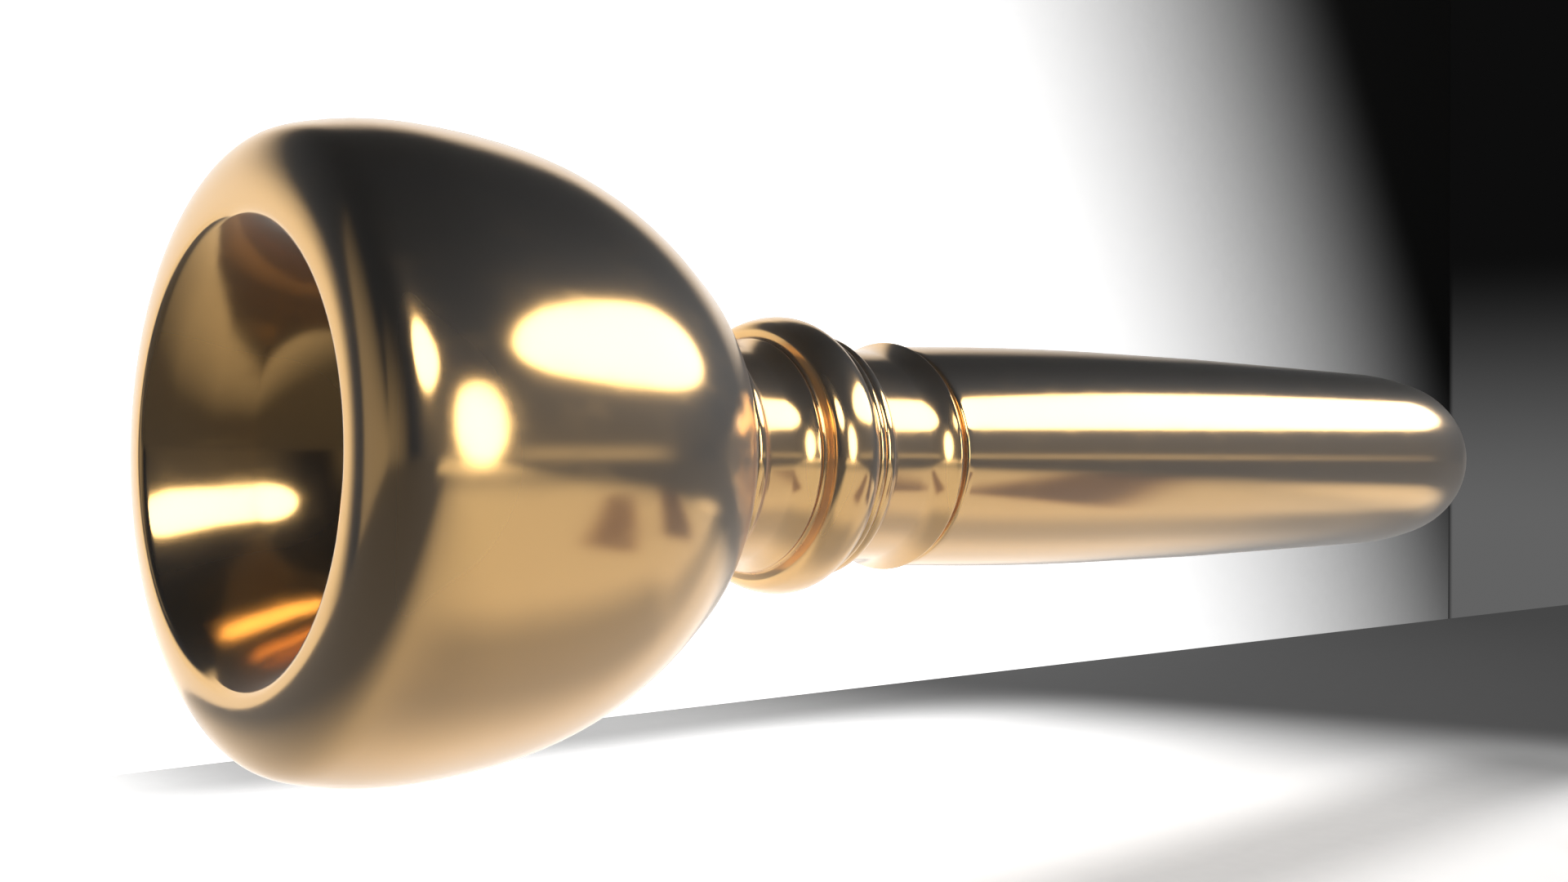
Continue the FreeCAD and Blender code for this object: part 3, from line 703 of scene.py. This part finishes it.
# how bright the floor is, and how much of that is brass glow: pale round the part, and in shade on the left,
# on the far right, near the camera and along the foot of the wall
def floorLight(graph, place):
    x = graph.vectors("DOT_PRODUCT", place, (1 / mm, 0.0, 0.0))
    y = graph.vectors("DOT_PRODUCT", place, (0.0, 1 / mm, 0.0))
    slantX, slantY = floorShape["slant"]
    behind = graph.rise(y, *floorEdges["behindPart"])
    right = (1 - graph.rise(x * slantX + y * slantY, *floorEdges["rightBehind"])) * behind
    right = right + (1 - graph.rise(x, *floorEdges["rightBefore"])) * (1 - behind)
    lit = graph.rise(x, *floorEdges["left"]) * right
    near = graph.rise(y, *floorEdges["near"]) * 0.5 + 0.5
    aside = graph.maths("ABSOLUTE", x - floorShape["beyondX"])
    beyond = (1 - graph.rise(y, *floorEdges["beyond"])) * (1 - graph.rise(aside, *floorEdges["beyondSide"]))
    foot = graph.rise(y, *floorEdges["foot"]) * (graph.rise(x, *floorEdges["footRight"]) * 0.48 + 0.3)
    back = graph.rise(y, *floorEdges["back"]) * 0.35 + 0.8
    light = lit * near * (1 - beyond) * back * (1 - foot)
    light = light + beyond * floorLevels["beyond"] + floorLevels["dusk"]
    warmth = 0.0
    for shadow in shadows:
        shade = inShadow(graph, x, y, shadow)
        light = light * (1 - shade * shadow["depth"])
        warmth = shade * shadow["warm"] + warmth
    glint = graph.vectors("DISTANCE", place, floorShape["glintAt"])
    return light + (1 - graph.rise(glint, *floorEdges["glint"])) * floorLevels["glint"], warmth


# where the wall's light grows or fades, in mm
wallEdges = {"left": (-72, -42), "right": (85, 205), "brow": (32, 62), "dimLeft": (-104, -92),
             "dimTop": (-10, 130)}
wallLevels = {"pool": 1.35, "dim": 0.36}


# how bright the wall is: a pool of light behind the part, a dim stretch on its left and dusk on its right
def wallLight(graph, place):
    x = graph.vectors("DOT_PRODUCT", place, (1 / mm, 0.0, 0.0))
    z = graph.vectors("DOT_PRODUCT", place, (0.0, 0.0, 1 / mm))
    brow = z - graph.maths("MINIMUM", x, 60.0) * 0.35
    pool = graph.rise(x, *wallEdges["left"]) * (1 - graph.rise(x + z * 0.6, *wallEdges["right"]))
    pool = pool * (1 - graph.rise(brow, *wallEdges["brow"]))
    dim = (1 - graph.rise(x, *wallEdges["dimLeft"])) * (1 - graph.rise(z, *wallEdges["dimTop"]))
    return pool * wallLevels["pool"] + dim * wallLevels["dim"], 0.0


# a flat part of the room, which glows with the light and shade painted on its face and can't be seen from
# behind
def makeBackdrop(name, corners, light):
    mesh = bpy.data.meshes.new(name)
    mesh.from_pydata([[c * mm for c in corner] for corner in corners], [], [(0, 1, 2, 3)])
    material, graph = newGraph(name + "PaperWithPaintedLight")
    place = graph.wire("ShaderNodeTexCoord", "Object")
    # the painted light and shade set both the glow and how dark the base colour is
    level, warmth = light(graph, place)
    level = level * (graph.noise(place, paper["grain"], 4.0) * 0.06 + 0.97)
    hue = graph.blend(warmth, paper["white"], paper["amber"])
    shader = graph.wire("ShaderNodeBsdfPrincipled", "BSDF", None, {
        "Base Color": graph.blend(level, paper["shade"], paper["pale"]),
        "Roughness": paper["roughness"], "Specular IOR Level": 0.0,
        "Emission Color": graph.vectors("SCALE", hue, level), "Emission Strength": 1.0})
    hidden = graph.wire("ShaderNodeNewGeometry", "Backfacing")
    clear = graph.wire("ShaderNodeBsdfTransparent", "BSDF")
    both = graph.wire("ShaderNodeMixShader", "Shader", None, {0: hidden, 1: shader, 2: clear})
    graph.add("ShaderNodeOutputMaterial", None, {"Surface": both})
    mesh.materials.append(material)
    backdrop = placed(name, mesh)


def makeRoom():
    left, right, corner, near, far = (room[edge] for edge in ("left", "right", "corner", "near", "wall"))
    low, high = -room["drop"], room["top"]
    makeBackdrop("floor", [(left, near, low), (right, near, low), (right, far, low), (left, far, low)],
                 floorLight)
    makeBackdrop("wall", [(left, far, low), (corner, far, low), (corner, far, high), (left, far, high)],
                 wallLight)


# soft lights that the brass mirrors: their middle in mm, what they look at, roll in degrees, width and
# height in mm, and the radiance of them all
panels = {
    "keyPanel": {"at": (296, -171, 178), "to": (30, 0, 0), "roll": -13, "size": (420, 150)},
    "sidePanel": {"at": (62, -372, 61), "to": (10, 0, 0), "roll": 0, "size": (112, 168)},
    "leftPanel": {"at": (-141, -289, 186), "to": (10, 0, 0), "roll": 0, "size": (240, 145)},
}
panelGlow = 6.5


def makePanel(name, panel):
    light = bpy.data.lights.new(name, "AREA")
    light.shape = "ELLIPSE"
    light.size, light.size_y = panel["size"][0] * mm, panel["size"][1] * mm
    light.energy = panelGlow * math.pi ** 2 * light.size * light.size_y / 4  # watts for that radiance
    lamp = placed(name, light)
    lamp.location = Vector(panel["at"]) * mm
    facing = (Vector(panel["to"]) - Vector(panel["at"])).to_track_quat("-Z", "Y")
    lamp.rotation_euler = (facing @ Quaternion((0, 0, 1), math.radians(panel["roll"]))).to_euler()
    lamp.visible_camera = False
    lamp.visible_diffuse = False


# ways out of the room, each level and with the shares of it between which its side begins
sides = {
    "beyondCorner": {"way": (0.465, -0.885, 0.0), "begins": (0.0, 0.003)},
    "far": {"way": (0.0, 1.0, 0.0), "begins": (-0.1, 0.1)},
    "left": {"way": (-0.9, 0.43, 0.0), "begins": (0.55, 1.0)},
    "near": {"way": (0.35, -0.94, 0.0), "begins": (0.3, 0.9)},
    "rightOfCamera": {"way": (0.66, -0.75, 0.0), "begins": (0.88, 0.99)},
}
# light on those sides: how bright, and the heights between which it fades out above and in below
glows = {
    "low": {"level": 0.12, "top": (-0.04, 0.11)}, "left": {"level": 0.3, "top": (0.0, 0.5)},
    "near": {"level": 0.1, "top": (0.1, 0.5)},
    "line": {"level": 0.5, "top": (0.01, 0.06), "foot": (-0.07, -0.02)},
}
ceilingGlow = 0.004


# what lies round the floor and the wall: a dark ceiling, and a little light near the horizon
def makeSurroundings():
    world = bpy.data.worlds.new("studio")
    scene.world = world
    graph = Graph(world)
    way = graph.wire("ShaderNodeTexCoord", "Generated")
    height = graph.vectors("DOT_PRODUCT", way, (0.0, 0.0, 1.0))
    on = {name: graph.rise(graph.vectors("DOT_PRODUCT", way, side["way"]), *side["begins"])
          for name, side in sides.items()}
    below = {name: 1 - graph.rise(height, *glow["top"]) for name, glow in glows.items()}
    above = graph.rise(height, *glows["line"]["foot"])
    low = on["beyondCorner"] * on["far"] * below["low"] * glows["low"]["level"]
    left = on["left"] * below["left"] * glows["left"]["level"]
    line = on["rightOfCamera"] * above * below["line"] * glows["line"]["level"]
    near = on["near"] * below["near"] * glows["near"]["level"]
    glow = graph.wire("ShaderNodeBackground", "Background", None, {
        "Color": low + left + near + line + ceilingGlow, "Strength": 1.0})
    graph.add("ShaderNodeOutputWorld", None, {"Surface": glow})


# the camera's place is in mm. It looks 41 degrees to the right of square-on, level with the bore, and is
# rolled by under half a degree
view = {"sensor": 32.0, "lens": 35.0, "at": (-26.2, -61.12, 0.16), "ahead": (0.65761, 0.75333, 0.00643),
        "up": (-0.00977, 0.0, 0.99995), "nearest": 1 * mm, "farthest": 5.0}


def makeCamera():
    data = bpy.data.cameras.new("camera")
    data.sensor_width = view["sensor"]
    data.lens = view["lens"]
    data.clip_start = view["nearest"]
    data.clip_end = view["farthest"]
    camera = placed("camera", data)
    ahead = Vector(view["ahead"]).normalized()
    right = ahead.cross(Vector(view["up"])).normalized()
    up = right.cross(ahead)
    x, y, z = view["at"]
    camera.matrix_world = Matrix((
        (right.x, up.x, -ahead.x, x * mm),
        (right.y, up.y, -ahead.y, y * mm),
        (right.z, up.z, -ahead.z, z * mm),
        (0, 0, 0, 1)))
    scene.camera = camera


makeRoom()
for name, panel in panels.items():
    makePanel(name, panel)
makeSurroundings()
makeCamera()
scene.view_settings.view_transform = "Standard"
print("stage 4: studio lit")
